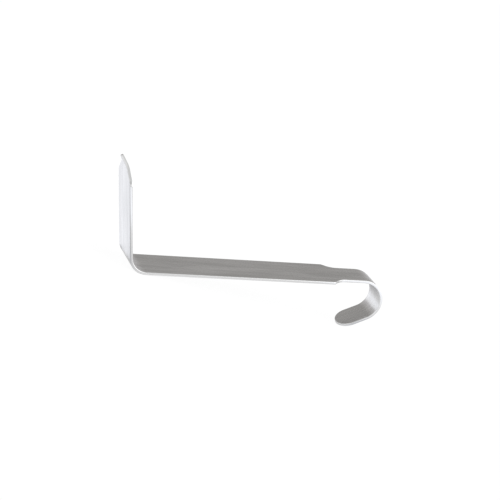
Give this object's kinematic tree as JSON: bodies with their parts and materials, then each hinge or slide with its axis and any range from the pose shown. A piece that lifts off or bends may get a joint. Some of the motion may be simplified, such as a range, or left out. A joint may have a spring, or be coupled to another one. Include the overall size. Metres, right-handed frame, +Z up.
{
  "type": "handheld surgical retractor",
  "caption": "One-piece steel hand retractor: a long flat handle with a pointed, lipped blade turned up at one end and a narrow hook turned down at the other.",
  "frame": {"origin": "middle of the bounding box's base, on the surface that the retractor stands on", "axes": "+X along the instrument from the blade to the hook, +Y across the strip, +Z up. It stands on the outside of the blade's bend and on the tip of the hook"},
  "size_m": [0.2198, 0.03, 0.0693],
  "materials": {
    "satin_steel": "satin, ground lengthwise, with polished rounded edges"
  },
  "bodies": {
    "root": {"retractor": "satin_steel"}
  },
  "joints": []
}
